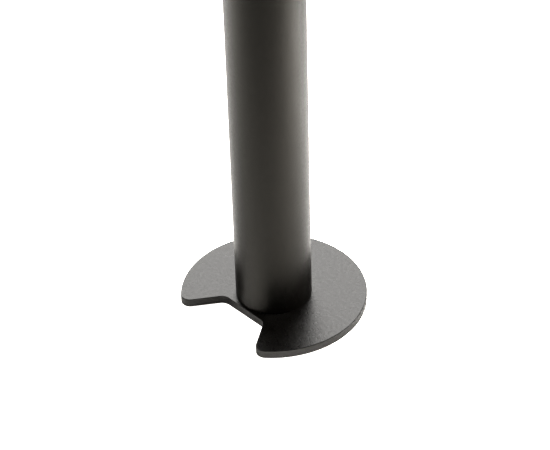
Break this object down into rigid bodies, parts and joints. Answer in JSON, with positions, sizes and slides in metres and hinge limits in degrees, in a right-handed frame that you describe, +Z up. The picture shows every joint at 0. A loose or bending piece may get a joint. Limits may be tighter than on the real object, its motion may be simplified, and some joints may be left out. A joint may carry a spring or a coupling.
{
  "type": "ashtray bin",
  "caption": "Free-standing column ashtray: black tube on a heavy notched round base, with a lift-out head, stubbing grid, key lock and hanging liner.",
  "frame": {"origin": "centre of the column on the floor, on the underside of the rubber mat", "axes": "+Z up along the column; the notch of the base plate and the butt opening face -Y"},
  "size_m": [0.25, 0.2223, 0.9025],
  "materials": {
    "plate_powder": "fine-texture black powder coat",
    "tube_powder": "satin black powder coat",
    "head_powder": "satin black powder coat",
    "mat_rubber": "matt black rubber sheet",
    "gasket_rubber": "matt black rubber",
    "zinc_steel": "zinc plated, dull",
    "grid_steel": "brushed stainless steel",
    "lock_chrome": "satin chrome plate",
    "liner_sheet": "mill-finish sheet",
    "guide_plastic": "moulded black plastic"
  },
  "bodies": {
    "column": {"base_plate": "plate_powder", "floor_mat": "mat_rubber", "foot_ring": "zinc_steel", "base_screws": "zinc_steel", "column_tube": "tube_powder", "top_ring": "zinc_steel", "liner_guide": "guide_plastic"},
    "head": {"head_ring": "head_powder", "head_gasket": "gasket_rubber", "bayonet_pins": "zinc_steel", "top_plate": "head_powder", "top_plate_screws": "grid_steel", "butt_chute": "grid_steel", "stub_grid": "grid_steel", "grid_screws": "grid_steel", "lock_body": "lock_chrome", "lock_nut": "zinc_steel"},
    "lock": {"lock_barrel": "lock_chrome", "lock_cam": "zinc_steel", "cam_screw": "zinc_steel"},
    "liner": {"liner_collar": "liner_sheet", "liner_rivets": "liner_sheet", "liner_tube": "liner_sheet", "liner_bottom": "liner_sheet"}
  },
  "joints": [
    {"name": "head_lift", "type": "slide", "parent": "column", "child": "head", "axis": [0, 0, 1], "range_m": [0, 0.43]},
    {"name": "lock_turn", "type": "hinge", "parent": "head", "child": "lock", "pos_m": [0, 0.024, 0.89], "axis": [0, 0, 1], "range_deg": [0, 90]},
    {"name": "liner_twist", "type": "hinge", "parent": "head", "child": "liner", "pos_m": [0, 0, 0.84], "axis": [0, 0, 1], "range_deg": [0, 30]}
  ]
}
